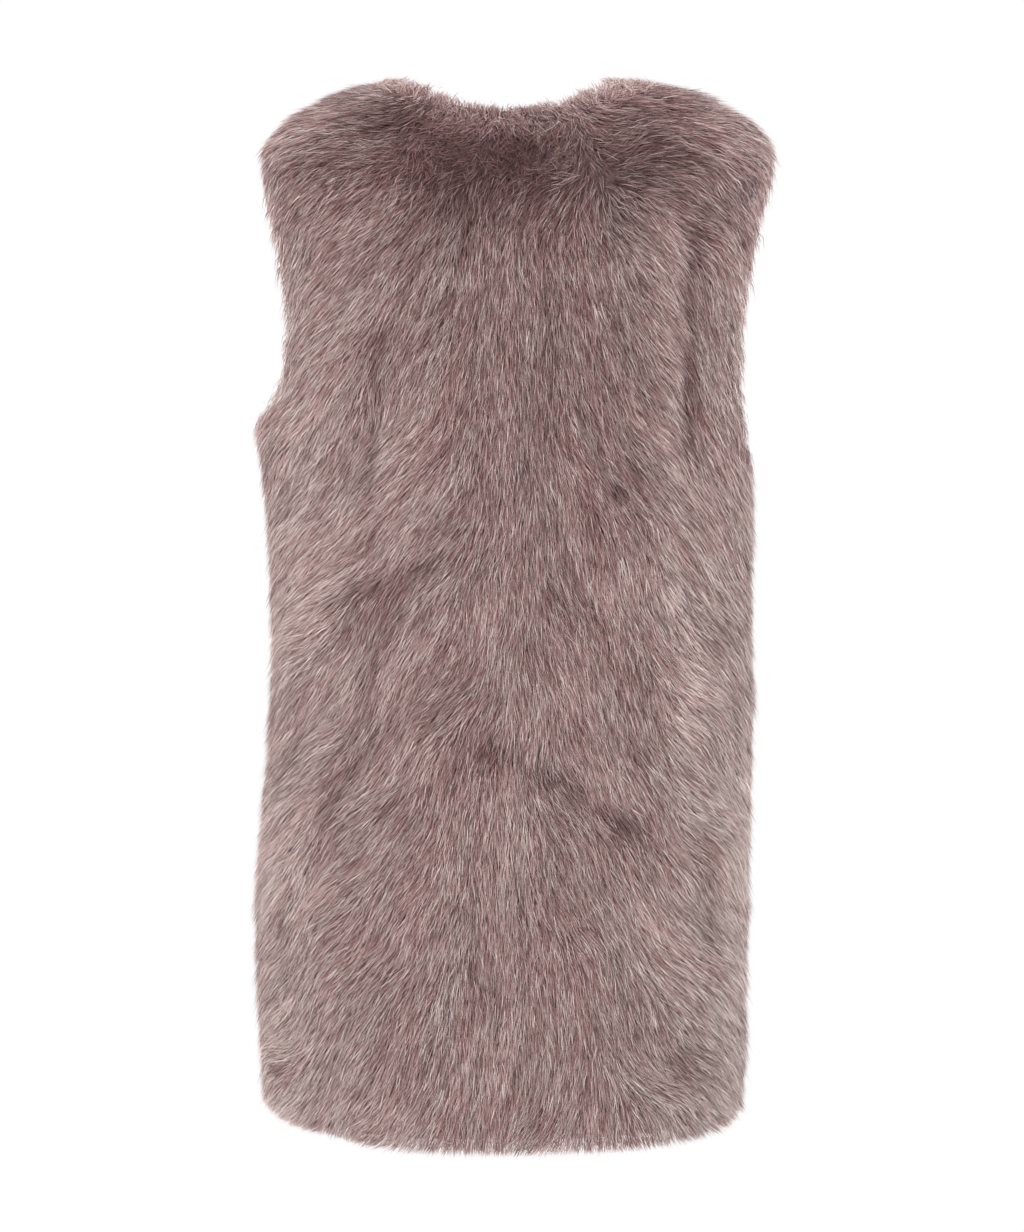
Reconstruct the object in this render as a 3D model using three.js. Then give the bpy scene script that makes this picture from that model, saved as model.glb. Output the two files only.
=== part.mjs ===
// A long sleeveless vest of faux fur, as it hangs on a wearer: one back and two fronts, sewn at the sides
// and shoulders and open from hem to neck at the centre front, where the edges meet. Each panel is a wall as
// thick as the cloth's backing and its lying pile together, so its outer face is the surface that the fur
// reaches.
//
// Millimetres, +Z up. +Y is the wearer's front, so the back faces -Y and +X is the wearer's right. The
// origin is midway between the shoulders, level with the underside of the shoulder seams, where the wearer
// holds it.
import * as THREE from "three";

// Driving sizes
const BACKING = 2; // knitted ground of the cloth
const PILE = 12; // depth of the fur as it lies
const WALL = BACKING + PILE;
const HOLD_HEIGHT = 841; // from the hem's lowest point up to the wearer's shoulders
const SEAM_GAP = 0.3; // between sewn panels
const FRONT_GAP = 1; // between the two front edges
const EDGE_ROLL = 7; // how far the fur rounds down to a free edge
const EDGE_REACH = 34; // over what distance it does so
const FUR_COLOUR = 0x98827f;

// Rows of numbers under named columns, as objects.
function table(columns, rows) {
  return rows.map((row) => Object.fromEntries(columns.map((name, i) => [name, row[i]])));
}

// The vest's outer surface is a stack of rings, from the hem up to the neck edge. A ring isn't flat. It
// passes through the sides at sideHeight, halfWidth each way from sway, through the centre back at
// backHeight, backDepth behind, and through the centre front in the same way. square fills out its corners,
// and rows is the number of mesh rows up to the next ring. Heights are above the lowest point of the hem.
const RINGS = table(
  [
    "sideHeight", "halfWidth", "sway", "backHeight", "backDepth",
    "frontHeight", "frontDepth", "square", "rows",
  ],
  [
    [23, 197, -5.5, 0, 106, 9, 108, 0.05, 3],      // hem
    [84, 200, -6, 73, 109, 75, 109, 0.05, 3],      // thigh
    [153, 202, -6.5, 149, 112, 149, 109, 0.05, 3], // seat
    [228, 202, -5, 227, 111, 225, 108, 0.05, 3],   // hip
    [303, 200, -1, 305, 105, 301, 107, 0.05, 3],   // belly
    [378, 198, 1.5, 381, 99, 375, 108, 0.05, 3],   // waist
    [443, 198, 1, 446, 98, 440, 112, 0.05, 3],     // ribs
    [505, 200, 0, 506, 100, 498, 119, 0.05, 3],    // bust
    [563, 203, -3, 561, 102, 553, 121, 0.055, 3],  // underarm
    [628, 204.5, -1, 618, 104, 605, 116, 0.06, 3], // arm low
    [693, 210, 2, 674, 103, 651, 108, 0.06, 3],    // arm middle
    [748, 216, 4, 724, 98, 687, 101, 0.06, 3],     // arm high
    [798, 218, 7, 764, 91, 712, 96, 0.06, 3],      // arm top
    [830, 196, 7, 788, 85, 725, 93, 0.05, 2],      // shoulder point
    [845, 171, 6.5, 804, 80, 734, 91, 0.035, 2],   // shoulder outer
    [857, 144, 4, 816, 76, 741, 89, 0.02, 2],      // shoulder
    [865, 114, 2, 827, 73, 746, 88, 0.01, 2],      // shoulder inner
    [870, 86, 1, 835, 70.5, 750, 87, 0, 0],        // neck edge
  ],
);

// The armholes, from the underarm up to the shoulder point, in ring numbers. backCut and frontCut are how
// far round from the side, in degrees, the panels' edges stand back at the widest. foot and crown shape the
// two ends of the hole: the smaller the number, the rounder the end.
const ARMHOLES = {
  right: { bottom: 8, top: 12.6, backCut: 30, frontCut: 37, foot: 0.5, crown: 0.62 },
  left: { bottom: 8.6, top: 12.6, backCut: 35, frontCut: 39, foot: 0.38, crown: 0.82 },
};
const ROWS_AT_FOOT = [0, 0.02, 0.08, 0.18, 0.32]; // added mesh rows, in rings above an armhole's bottom
const ROWS_AT_CROWN = [0, 0.06, 0.2]; // and below its top
const LEAST_ROW = 0.015; // rows closer than this are one

// Soft folds of the worn cloth, each a straight run between two points given by x and height. depth is
// outwards for a ridge and negative for a trough, and width is from its crest to where it has mostly died
// away.
const FOLD_COLUMNS = ["x1", "h1", "x2", "h2", "width", "depth"];
const BACK_FOLDS = table(FOLD_COLUMNS, [
  [128, 735, 126, 560, 22, 6],
  [143, 745, 141, 560, 17, -7],
  [131, 560, 155, 500, 26, 4],
  [-99, 652, -105, 549, 24, -6],
  [-74, 655, -82, 545, 30, 4],
  [-101, 450, -115, 420, 26, -7],
  [-150, 391, -180, 310, 24, -6],
  [-115, 340, -148, 248, 25, -6],
  [-132, 335, -168, 240, 24, 5],
  [-28, 342, 14, 322, 30, -6],
  [42, 296, 98, 258, 28, -6],
  [24, 318, 68, 286, 30, 5],
  [128, 374, 163, 293, 26, 6],
  [155, 340, 174, 278, 22, -7],
  [-90, 158, -36, 150, 24, -5],
  [150, 245, 158, 165, 22, -6],
  [124, 90, 138, 79, 24, -5],
  [-60, 765, 60, 762, 34, -4],
]);
const FRONT_FOLDS = table(FOLD_COLUMNS, [
  [138, 716, 118, 588, 26, 6],
  [158, 690, 146, 566, 20, -6],
  [-136, 722, -122, 600, 26, 6],
  [-158, 694, -150, 560, 20, -6],
  [92, 486, 134, 372, 27, -6],
  [66, 455, 98, 352, 30, 5],
  [-80, 470, -128, 330, 27, -6],
  [-112, 462, -160, 352, 25, 5],
  [128, 268, 152, 118, 26, 6],
  [98, 246, 112, 96, 26, -6],
  [-64, 262, -84, 112, 28, -5],
  [-138, 244, -150, 92, 26, 5],
]);
const FOLD_FADE = 0.3; // share of the vest's depth over which the folds grow, from the side seams in

// Mesh columns across each panel
const BACK_COLUMNS = 26;
const FRONT_COLUMNS = 14;

const LEFT_SIDE = -Math.PI;
const RIGHT_SIDE = 0;
const CENTRE_FRONT = Math.PI / 2;
const radians = THREE.MathUtils.degToRad;

// The ring at any level between the tabled ones, by a uniform Catmull-Rom spline through each column.
function ringAt(level) {
  const last = RINGS.length - 1;
  const i = Math.min(Math.floor(level), last - 1);
  const t = level - i;
  const near = [i - 1, i, i + 1, i + 2].map((k) => RINGS[THREE.MathUtils.clamp(k, 0, last)]);
  const ring = {};
  for (const column of Object.keys(RINGS[0])) {
    const [a, b, c, d] = near.map((row) => row[column]);
    ring[column] =
      b + (t / 2) * (c - a + t * (2 * a - 5 * b + 4 * c - d + t * (3 * (b - c) + d - a)));
  }
  return ring;
}

// The point of the smooth outer surface at an angle. 0 is the wearer's right side, 90 degrees the centre
// front.
function smoothPoint(angle, level) {
  const ring = ringAt(level);
  const across = (Math.cos(angle) - ring.square * Math.cos(3 * angle)) / (1 - ring.square);
  const through = (Math.sin(angle) + ring.square * Math.sin(3 * angle)) / (1 - ring.square);
  const depth = through < 0 ? ring.backDepth : ring.frontDepth;
  const middle = through < 0 ? ring.backHeight : ring.frontHeight;
  return new THREE.Vector3(
    ring.sway + ring.halfWidth * across,
    depth * through,
    ring.sideHeight + (middle - ring.sideHeight) * through * through,
  );
}

// The outward normal of the smooth surface, from its two slopes.
function normalAt(angle, level) {
  const step = 1e-3; // in radians and in rings
  const low = Math.max(level - step, 0);
  const high = Math.min(level + step, RINGS.length - 1);
  const round = smoothPoint(angle + step, level).sub(smoothPoint(angle - step, level));
  const up = smoothPoint(angle, high).sub(smoothPoint(angle, low));
  return round.cross(up).normalize();
}

// How far a point stands out from the smooth surface because of the folds.
function foldHeight(point, through) {
  const folds = through < 0 ? BACK_FOLDS : FRONT_FOLDS;
  let height = 0;
  for (const { x1, h1, x2, h2, width, depth } of folds) {
    const run = new THREE.Vector2(x2 - x1, h2 - h1);
    const from = new THREE.Vector2(point.x - x1, point.z - h1);
    const along = THREE.MathUtils.clamp(from.dot(run) / run.lengthSq(), 0, 1);
    const off = from.addScaledVector(run, -along).length() / width;
    height += depth * Math.exp(-off * off);
  }
  return height * THREE.MathUtils.smoothstep(Math.abs(through), 0, FOLD_FADE);
}

// How far round from the side, in radians, a panel's edge stands back at a level, because of an armhole.
function armholeCut(hole, cut, level) {
  const t = (level - hole.bottom) / (hole.top - hole.bottom);
  if (t <= 0 || t >= 1) return 0;
  const { foot, crown } = hole;
  const shape = (share) => share ** foot * (1 - share) ** crown;
  return (radians(cut) * shape(t)) / shape(foot / (foot + crown));
}

// The levels of the mesh rows of a panel that has these armholes.
function rowLevels(holes) {
  const levels = [];
  RINGS.forEach(({ rows }, i) => {
    for (let k = 0; k < rows; k++) levels.push(i + k / rows);
  });
  levels.push(RINGS.length - 1);
  for (const { bottom, top } of holes) {
    for (const above of ROWS_AT_FOOT) levels.push(bottom + above);
    for (const below of ROWS_AT_CROWN) levels.push(top - below);
  }
  levels.sort((a, b) => a - b);
  return levels.filter((level, j) => j === 0 || level - levels[j - 1] > LEAST_ROW);
}

// One panel of the vest as a closed wall. from and to give its two edges at a level: the angle, how the gap
// shifts the edge, and whether it is free there, as along an armhole, or sewn.
function panel(name, columns, holes, from, to, material) {
  const levels = rowLevels(holes);
  const rows = levels.length - 1;
  const points = levels.map((level) => {
    const start = from(level);
    const end = to(level);
    return Array.from({ length: columns + 1 }, (_, i) => {
      const angle = THREE.MathUtils.lerp(start.angle, end.angle, i / columns);
      const place = smoothPoint(angle, level);
      const normal = normalAt(angle, level);
      const through = Math.sin(angle);
      place.addScaledVector(normal, foldHeight(place, through));
      if (i === 0) place.add(start.shift);
      if (i === columns) place.add(end.shift);
      return { place, normal };
    });
  });

  const freeEdge = [...points[0], ...points[rows]];
  levels.forEach((level, j) => {
    if (from(level).free) freeEdge.push(points[j][0]);
    if (to(level).free) freeEdge.push(points[j][columns]);
  });

  const outer = [];
  const inner = [];
  for (const { place, normal } of points.flat()) {
    const toEdge = Math.min(...freeEdge.map((edge) => place.distanceTo(edge.place)));
    const near = Math.max(1 - toEdge / EDGE_REACH, 0);
    outer.push(place.clone().addScaledVector(normal, -EDGE_ROLL * near * near));
    inner.push(place.clone().addScaledVector(normal, -WALL));
  }

  const vertices = [...outer, ...inner];
  const count = outer.length;
  const at = (i, j) => j * (columns + 1) + i;
  const faces = [];
  const quad = (a, b, c, d) => {
    const acrossAC = vertices[a].distanceTo(vertices[c]);
    const acrossBD = vertices[b].distanceTo(vertices[d]);
    faces.push(...(acrossAC < acrossBD ? [a, b, c, a, c, d] : [a, b, d, b, c, d]));
  };
  for (let j = 0; j < rows; j++) {
    for (let i = 0; i < columns; i++) {
      const corners = [at(i, j), at(i + 1, j), at(i + 1, j + 1), at(i, j + 1)];
      quad(...corners);
      quad(...corners.reverse().map((corner) => count + corner));
    }
    quad(at(0, j + 1), count + at(0, j + 1), count + at(0, j), at(0, j));
    quad(at(columns, j), count + at(columns, j), count + at(columns, j + 1), at(columns, j + 1));
  }
  for (let i = 0; i < columns; i++) {
    quad(at(i + 1, 0), at(i, 0), count + at(i, 0), count + at(i + 1, 0));
    quad(at(i, rows), at(i + 1, rows), count + at(i + 1, rows), count + at(i, rows));
  }

  const geometry = new THREE.BufferGeometry().setFromPoints(vertices);
  geometry.setIndex(faces);
  geometry.computeVertexNormals();
  const mesh = new THREE.Mesh(geometry, material);
  mesh.name = name;
  return mesh;
}

// A panel's edge at a side: sewn below the armhole and above it, and free along it. turn is the way round,
// 1 or -1, from that side into the panel, and yWay is the way along Y.
function sideEdge(side, hole, cut, turn, yWay) {
  return (level) => {
    const stand = armholeCut(hole, cut, level);
    const shift = new THREE.Vector3(0, stand > 0 ? 0 : (yWay * SEAM_GAP) / 2, 0);
    return { angle: side + turn * stand, shift, free: stand > 0 };
  };
}

// A front's edge at the centre front, free from hem to neck. xWay is the way along X into the panel.
function frontEdge(xWay) {
  return () => ({
    angle: CENTRE_FRONT,
    shift: new THREE.Vector3((xWay * FRONT_GAP) / 2, 0, 0),
    free: true,
  });
}

const fur = () => new THREE.MeshStandardMaterial({ color: FUR_COLOUR, roughness: 0.9, metalness: 0 });

const { left, right } = ARMHOLES;
const vest = new THREE.Group();
vest.add(
  panel(
    "back",
    BACK_COLUMNS,
    [left, right],
    sideEdge(LEFT_SIDE, left, left.backCut, 1, -1),
    sideEdge(RIGHT_SIDE, right, right.backCut, -1, -1),
    fur(),
  ),
  panel(
    "front_right",
    FRONT_COLUMNS,
    [right],
    sideEdge(RIGHT_SIDE, right, right.frontCut, 1, 1),
    frontEdge(1),
    fur(),
  ),
  panel(
    "front_left",
    FRONT_COLUMNS,
    [left],
    frontEdge(-1),
    sideEdge(-LEFT_SIDE, left, left.frontCut, -1, 1),
    fur(),
  ),
);
vest.position.z = -HOLD_HEIGHT;

export default vest;
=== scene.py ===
"""A long sleeveless vest of faux fur in its worn, hollow form, seen from the back.

Millimetres until a mesh is made. +Z is up, +Y the wearer's front and +X the wearer's right, and
heights are measured up from the lowest point of the hem. Each panel is a thin shell of backing
cloth and underfur, and the pile on it is made of many tapered hairs that grow in locks.
"""

import math
from types import SimpleNamespace

import bpy
import numpy as np
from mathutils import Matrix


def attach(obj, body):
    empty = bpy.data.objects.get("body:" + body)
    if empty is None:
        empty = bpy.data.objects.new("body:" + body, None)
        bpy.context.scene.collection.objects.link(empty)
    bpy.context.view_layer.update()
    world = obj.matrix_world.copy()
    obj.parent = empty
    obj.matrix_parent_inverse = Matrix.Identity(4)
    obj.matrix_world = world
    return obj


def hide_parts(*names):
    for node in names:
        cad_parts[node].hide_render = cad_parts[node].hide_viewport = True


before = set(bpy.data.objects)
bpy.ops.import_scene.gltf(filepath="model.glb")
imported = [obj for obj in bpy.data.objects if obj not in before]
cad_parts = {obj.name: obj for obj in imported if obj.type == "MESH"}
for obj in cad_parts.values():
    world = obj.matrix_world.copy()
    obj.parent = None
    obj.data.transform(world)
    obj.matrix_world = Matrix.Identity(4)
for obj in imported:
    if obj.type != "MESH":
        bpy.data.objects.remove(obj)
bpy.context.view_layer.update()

# Driving sizes
HOLD_HEIGHT = 841  # from the hem's lowest point up to the frame's origin
BACKING = 2  # knitted ground of the cloth
PILE = 12  # depth of the fur as it lies
WALL = BACKING + PILE
UNDERFUR = 4.5  # depth of the short wool at the roots, over the backing
EDGE_ROLL = 7  # how far the fur rounds down to a free edge
EDGE_REACH = 34  # over what distance it does so

# How far the cloth stands back from the fur's edges
HEM_INSET = 0.24  # in rings
NECK_INSET = 0.25  # in rings
FRONT_INSET = 0.3  # beside the centre front, in degrees
HOLE_INSET_RINGS = 0.16  # above and below an armhole
HOLE_INSET_TURN = 3.5  # beside an armhole, in degrees

# The hairs and the locks that they grow in
HAIR_LENGTH = 24.5
HAIR_WIDTH = 0.54
LOCK_HAIRS = 4
LOCK_SPREAD = 1.8  # how far the roots of a lock's hairs lie from its middle
MIDDLE = 0.45  # where along a hair it bends and is widest
KITE = [1, 0, 2, 3]  # a hair's vertices round its face, which folds from the first to the third
STRAY_SHARE = 0.07  # of the hairs, which stand out from the rest
PALE_SHARE = 0.22  # of the hairs, which are clearly paler than the rest
SPOT_STEPS = (0.7548776662466927, 0.5698402909980532)  # multiples of these fill a square evenly
SEED = 11
SLOPE_STEP = 2e-3  # in radians and in rings, over which a surface's slopes are taken

# How far locks lie off their table's turn, in degrees
SWELL_TURN = 6  # in broad swells
RIPPLE_TURN = 4  # in small ones
LOCK_TURN = 3.5  # from lock to lock
RUFFLED_LOCK_TURN = 42  # the same where the fur is ruffled
RUFFLED_TURN = 75  # in tufts there
UP_TURN = 70  # off straight up, for tufts that stand up at the neck
UP_LOCK_TURN = 28  # and from lock to lock there
FRONT_LEAN = 13  # of the hairs beside the centre front, over the opening
LEAN_REACH = 13  # how far from it they do so, in millimetres

# How high the tips lie off the fur's surface
TIP_HEIGHT = -2.4
TIP_SPREAD = 1.6
TUFT_RISE = 5
RUFFLED_RISE = 1.2
FOOT_RISE = 5  # at the sharp foot of the left armhole
SHOULDER_DROP = 9  # at the shoulders' ends, where the hairs lie close

# The trimmed ends of the fur
HEM_FUZZ = 3  # how far the longest hairs pass the edge at the hem
HEM_BEVEL = 8  # how much higher the back's hem is trimmed at the left corner
NECK_TRIM = (-4, 0.5)  # between which heights off the neck's edge its hairs end

def table(columns, rows):
    """Rows of numbers under named columns, as arrays."""
    return dict(zip(columns, np.array(rows, float).T))


# The vest's outer surface is a stack of rings, from the hem up to the neck edge. A ring passes
# through the sides at side_height, half_width each way from sway, and through the centre back and
# centre front at their own heights and depths. square fills out its corners.
RING_COLUMNS = (
    "side_height",
    "half_width",
    "sway",
    "back_height",
    "back_depth",
    "front_height",
    "front_depth",
    "square",
)
RINGS = np.array([
    [23, 197, -5.5, 0, 106, 9, 108, 0.05],  # hem
    [84, 200, -6, 73, 109, 75, 109, 0.05],  # thigh
    [153, 202, -6.5, 149, 112, 149, 109, 0.05],  # seat
    [228, 202, -5, 227, 111, 225, 108, 0.05],  # hip
    [303, 200, -1, 305, 105, 301, 107, 0.05],  # belly
    [378, 198, 1.5, 381, 99, 375, 108, 0.05],  # waist
    [443, 198, 1, 446, 98, 440, 112, 0.05],  # ribs
    [505, 200, 0, 506, 100, 498, 119, 0.05],  # bust
    [563, 203, -3, 561, 102, 553, 121, 0.055],  # underarm
    [628, 204.5, -1, 618, 104, 605, 116, 0.06],  # arm low
    [693, 210, 2, 674, 103, 651, 108, 0.06],  # arm middle
    [748, 216, 4, 724, 98, 687, 101, 0.06],  # arm high
    [798, 218, 7, 764, 91, 712, 96, 0.06],  # arm top
    [830, 196, 7, 788, 85, 725, 93, 0.05],  # shoulder point
    [845, 171, 6.5, 804, 80, 734, 91, 0.035],  # shoulder outer
    [857, 144, 4, 816, 76, 741, 89, 0.02],  # shoulder
    [865, 114, 2, 827, 73, 746, 88, 0.01],  # shoulder inner
    [870, 86, 1, 835, 70.5, 750, 87, 0],  # neck edge
])
TOP = len(RINGS) - 1

# The armholes, from the underarm up to the shoulder point, in ring numbers. back and front are how
# far round from the side, in degrees, the panels' edges stand back at the widest. foot and crown
# are the powers by which they open below and close above, sharper where they are small.
ARMHOLES = {
    "right": {"bottom": 8, "top": 12.6, "back": 30, "front": 37, "foot": 0.5, "crown": 0.62},
    "left": {"bottom": 8.6, "top": 12.6, "back": 35, "front": 39, "foot": 0.38, "crown": 0.82},
}

# Soft folds of the worn cloth, each a straight run between two points given by x and height. depth
# is outwards for a ridge and negative for a trough, and width is from its crest to where it has
# mostly died away.
FOLD_COLUMNS = ("x1", "h1", "x2", "h2", "width", "depth")
BACK_FOLDS = table(FOLD_COLUMNS, [
    [128, 735, 126, 560, 22, 6],
    [143, 745, 141, 560, 17, -7],
    [131, 560, 155, 500, 26, 4],
    [-99, 652, -105, 549, 24, -6],
    [-74, 655, -82, 545, 30, 4],
    [-101, 450, -115, 420, 26, -7],
    [-150, 391, -180, 310, 24, -6],
    [-115, 340, -148, 248, 25, -6],
    [-132, 335, -168, 240, 24, 5],
    [-28, 342, 14, 322, 30, -6],
    [42, 296, 98, 258, 28, -6],
    [24, 318, 68, 286, 30, 5],
    [128, 374, 163, 293, 26, 6],
    [155, 340, 174, 278, 22, -7],
    [-90, 158, -36, 150, 24, -5],
    [150, 245, 158, 165, 22, -6],
    [124, 90, 138, 79, 24, -5],
    [-60, 765, 60, 762, 34, -4],
])
FRONT_FOLDS = table(FOLD_COLUMNS, [
    [138, 716, 118, 588, 26, 6],
    [158, 690, 146, 566, 20, -6],
    [-136, 722, -122, 600, 26, 6],
    [-158, 694, -150, 560, 20, -6],
    [92, 486, 134, 372, 27, -6],
    [66, 455, 98, 352, 30, 5],
    [-80, 470, -128, 330, 27, -6],
    [-112, 462, -160, 352, 25, 5],
    [128, 268, 152, 118, 26, 6],
    [98, 246, 112, 96, 26, -6],
    [-64, 262, -84, 112, 28, -5],
    [-138, 244, -150, 92, 26, 5],
])
FOLD_FADE = 0.3  # share of the depth, from the side seams in, over which the folds grow up

# Which way the pile lies on the back, at points given by x and height. turn is in degrees from
# straight down, towards +X. Where it changes in a short way the fur parts or runs into a ridge.
LAY_COLUMNS = ("x", "height", "turn")
BACK_LAY = table(LAY_COLUMNS, [
    [-143, 832, -62], [-178, 794, -62], [-190, 768, -40], [-142, 794, -55], [-126, 755, -50],
    [-87, 755, -45], [-63, 739, -30], [-24, 723, -6], [-170, 727, -14], [-134, 707, -40],
    [-71, 676, -25], [-178, 676, -14], [-190, 648, -18], [-142, 660, -42], [-103, 605, -8],
    [-126, 605, -30], [-75, 573, -42], [-32, 600, -15], [0, 597, -3], [-190, 582, -52],
    [-174, 562, -30], [-166, 502, -40], [-186, 482, -50], [-87, 490, -35], [-50, 500, -40],
    [-20, 486, -20], [4, 518, -4], [90, 794, 100], [103, 780, 80], [87, 755, 45], [63, 751, 5],
    [47, 759, -28], [46, 784, -72], [66, 812, 70], [40, 808, 12], [150, 826, 60],
    [190, 810, 60], [201, 790, 62], [166, 794, 52], [196, 766, 42], [142, 745, 58],
    [111, 735, 40], [182, 723, 25], [111, 703, 38], [71, 707, 12], [36, 707, 3], [128, 676, 40],
    [154, 680, 9], [175, 676, 18], [16, 636, 0], [51, 636, 6], [87, 636, 20], [115, 640, 35],
    [125, 597, 34], [146, 612, 8], [165, 608, 14], [183, 597, 20], [71, 581, 18],
    [107, 565, 44], [146, 557, 16], [167, 561, 22], [40, 533, 12], [71, 529, 25],
    [111, 529, 45], [142, 529, 40], [167, 518, 28], [16, 502, 0], [55, 494, 8], [103, 494, 20],
    [134, 482, 35], [167, 486, 35], [186, 500, 24], [-182, 454, -48], [-118, 457, -58],
    [-150, 437, -60], [-107, 433, -15], [-55, 470, -38], [-83, 439, -30], [-59, 419, -28],
    [-20, 435, -10], [-178, 403, -60], [-186, 368, -45], [-134, 375, -20], [-87, 368, -21],
    [-46, 362, -48], [-166, 352, -26], [-142, 334, -52], [-20, 336, -16], [-103, 332, -25],
    [-166, 308, -52], [-190, 289, -65], [-134, 300, -33], [-109, 289, -45], [-47, 292, -13],
    [-8, 285, 0], [-194, 249, -65], [-174, 269, -40], [-149, 257, -20], [-125, 271, -47],
    [-75, 261, -30], [-32, 253, -8], [-194, 221, -55], [-162, 225, -20], [-130, 221, -48],
    [-87, 217, -28], [-141, 202, -58], [-103, 194, -25], [-166, 184, -20], [-62, 176, -15],
    [-194, 160, -55], [-158, 153, -25], [-133, 154, -45], [-99, 154, -42], [-8, 154, 4],
    [-194, 113, -58], [-158, 129, -22], [-118, 121, -33], [-87, 121, -22], [-24, 107, -5],
    [-183, 69, -78], [-188, 52, -48], [-162, 58, -28], [-130, 60, -26], [-87, 44, -24],
    [-8, 44, -7], [-112, 23, -55], [-124, 21, 0], [-24, 8, -6], [12, 454, 2], [40, 454, 20],
    [71, 469, 7], [107, 469, 6], [136, 469, 32], [186, 445, 45], [71, 437, 12], [126, 435, 28],
    [152, 435, 45], [40, 391, 15], [88, 395, 14], [118, 398, 32], [146, 374, 60],
    [175, 395, 40], [24, 368, 6], [104, 358, 12], [142, 350, 55], [183, 342, 30], [8, 332, 0],
    [73, 326, 20], [111, 311, 25], [136, 316, 50], [152, 303, 58], [163, 324, 16],
    [183, 296, 45], [43, 295, 36], [67, 292, 18], [75, 279, 38], [112, 279, 28], [152, 271, 55],
    [186, 263, 47], [4, 241, 0], [73, 240, 12], [104, 232, 18], [142, 240, 48], [153, 217, 14],
    [170, 224, 33], [41, 200, 22], [57, 184, 32], [73, 208, 20], [112, 200, 28], [136, 196, 52],
    [186, 176, 50], [25, 168, 5], [73, 154, 12], [128, 153, 52], [152, 153, 58], [182, 137, 50],
    [32, 121, 0], [104, 115, 15], [128, 129, 48], [167, 121, 45], [118, 89, 25], [144, 74, 55],
    [174, 74, 45], [115, 60, 65], [152, 50, 45], [41, 58, -10], [25, 34, -32], [73, 34, -4],
    [112, 26, 14], [144, 26, 32], [167, 34, 52],
])

# The same on the wearer's right front. The left front mirrors it.
FRONT_LAY = table(LAY_COLUMNS, [
    [140, 832, 74], [182, 800, 70], [150, 775, 55], [198, 765, 40], [112, 770, 40],
    [95, 728, 24], [150, 716, 34], [182, 690, 16], [62, 700, 10], [120, 668, 32],
    [158, 650, 12], [30, 660, 6], [80, 628, 18], [128, 600, 38], [178, 590, 30], [24, 596, 3],
    [96, 552, 26], [150, 540, 34], [186, 520, 44], [44, 520, 10], [12, 470, 2], [78, 478, 16],
    [122, 462, 40], [176, 452, 42], [58, 420, 18], [100, 400, 12], [140, 388, 50],
    [186, 370, 46], [16, 372, 4], [84, 350, 26], [124, 330, 34], [160, 310, 54], [40, 304, 12],
    [190, 280, 48], [96, 272, 20], [132, 258, 44], [14, 250, 0], [62, 230, 16], [160, 220, 30],
    [112, 196, 30], [186, 180, 52], [34, 168, 6], [82, 150, 14], [140, 142, 46], [172, 110, 40],
    [106, 96, 22], [20, 90, -3], [62, 72, 10], [142, 60, 44], [184, 56, 50], [100, 30, 20],
    [30, 20, -8],
])
LAY_REACH = 9  # how far off a point of these tables keeps its say against the next

# Darker places on the pile, each an oval given by its half width and half height: painted shade
# where the pile lies in folds or turns away from the light, and partly its own darker colour where
# it stands open and shows its roots. dark is negative for painted light, where it is paler.
SHADE_COLUMNS = ("x", "height", "width", "rise", "dark")
BACK_PAINTED_SHADE_AND_TONE = table(SHADE_COLUMNS, [
    [-4, 796, 84, 32, 0.33],
    [-90, 832, 42, 17, 0.31],
    [96, 832, 30, 18, 0.31],
    [-150, 792, 44, 28, 0.20],
    [118, 790, 36, 26, 0.21],
    [-60, 782, 18, 14, 0.06],
    [-172, 745, 24, 36, 0.13],
    [-97, 745, 18, 26, -0.06],
    [-30, 748, 36, 20, 0.05],
    [98, 745, 18, 18, -0.06],
    [162, 745, 34, 28, 0.14],
    [-5, 775, 130, 60, 0.07],
    [-178, 672, 16, 40, 0.06],
    [34, 620, 80, 165, 0.13],
    [-97, 600, 16, 40, -0.10],
    [95, 460, 50, 26, -0.08],
    [-18, 470, 20, 16, 0.05],
    [21, 367, 20, 20, -0.10],
    [40, 450, 15, 24, 0.13],
    [-100, 415, 40, 26, -0.06],
    [-136, 375, 16, 60, -0.06],
    [-115, 430, 60, 330, -0.04],
    [174, 423, 14, 20, 0.10],
    [-62, 325, 26, 24, -0.14],
    [-18, 322, 14, 16, 0.03],
    [-12, 332, 14, 9, 0.22],
    [24, 312, 12, 7, 0.18],
    [48, 296, 9, 6, 0.18],
    [46, 274, 28, 18, 0.07],
    [85, 272, 18, 13, 0.16],
    [180, 340, 14, 34, 0.08],
    [100, 330, 20, 44, 0.10],
    [-134, 288, 14, 36, 0.16],
    [-82, 268, 40, 20, -0.05],
    [150, 225, 44, 80, -0.18],
    [-38, 220, 30, 24, -0.06],
    [-60, 180, 26, 22, -0.06],
    [-72, 155, 34, 40, -0.07],
    [154, 213, 8, 38, 0.14],
    [30, 140, 70, 80, 0.06],
    [-142, 130, 26, 110, 0.05],
    [130, 85, 10, 7, 0.16],
    [-184, 67, 12, 6, 0.18],
    [-90, 36, 36, 20, -0.09],
])
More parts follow.
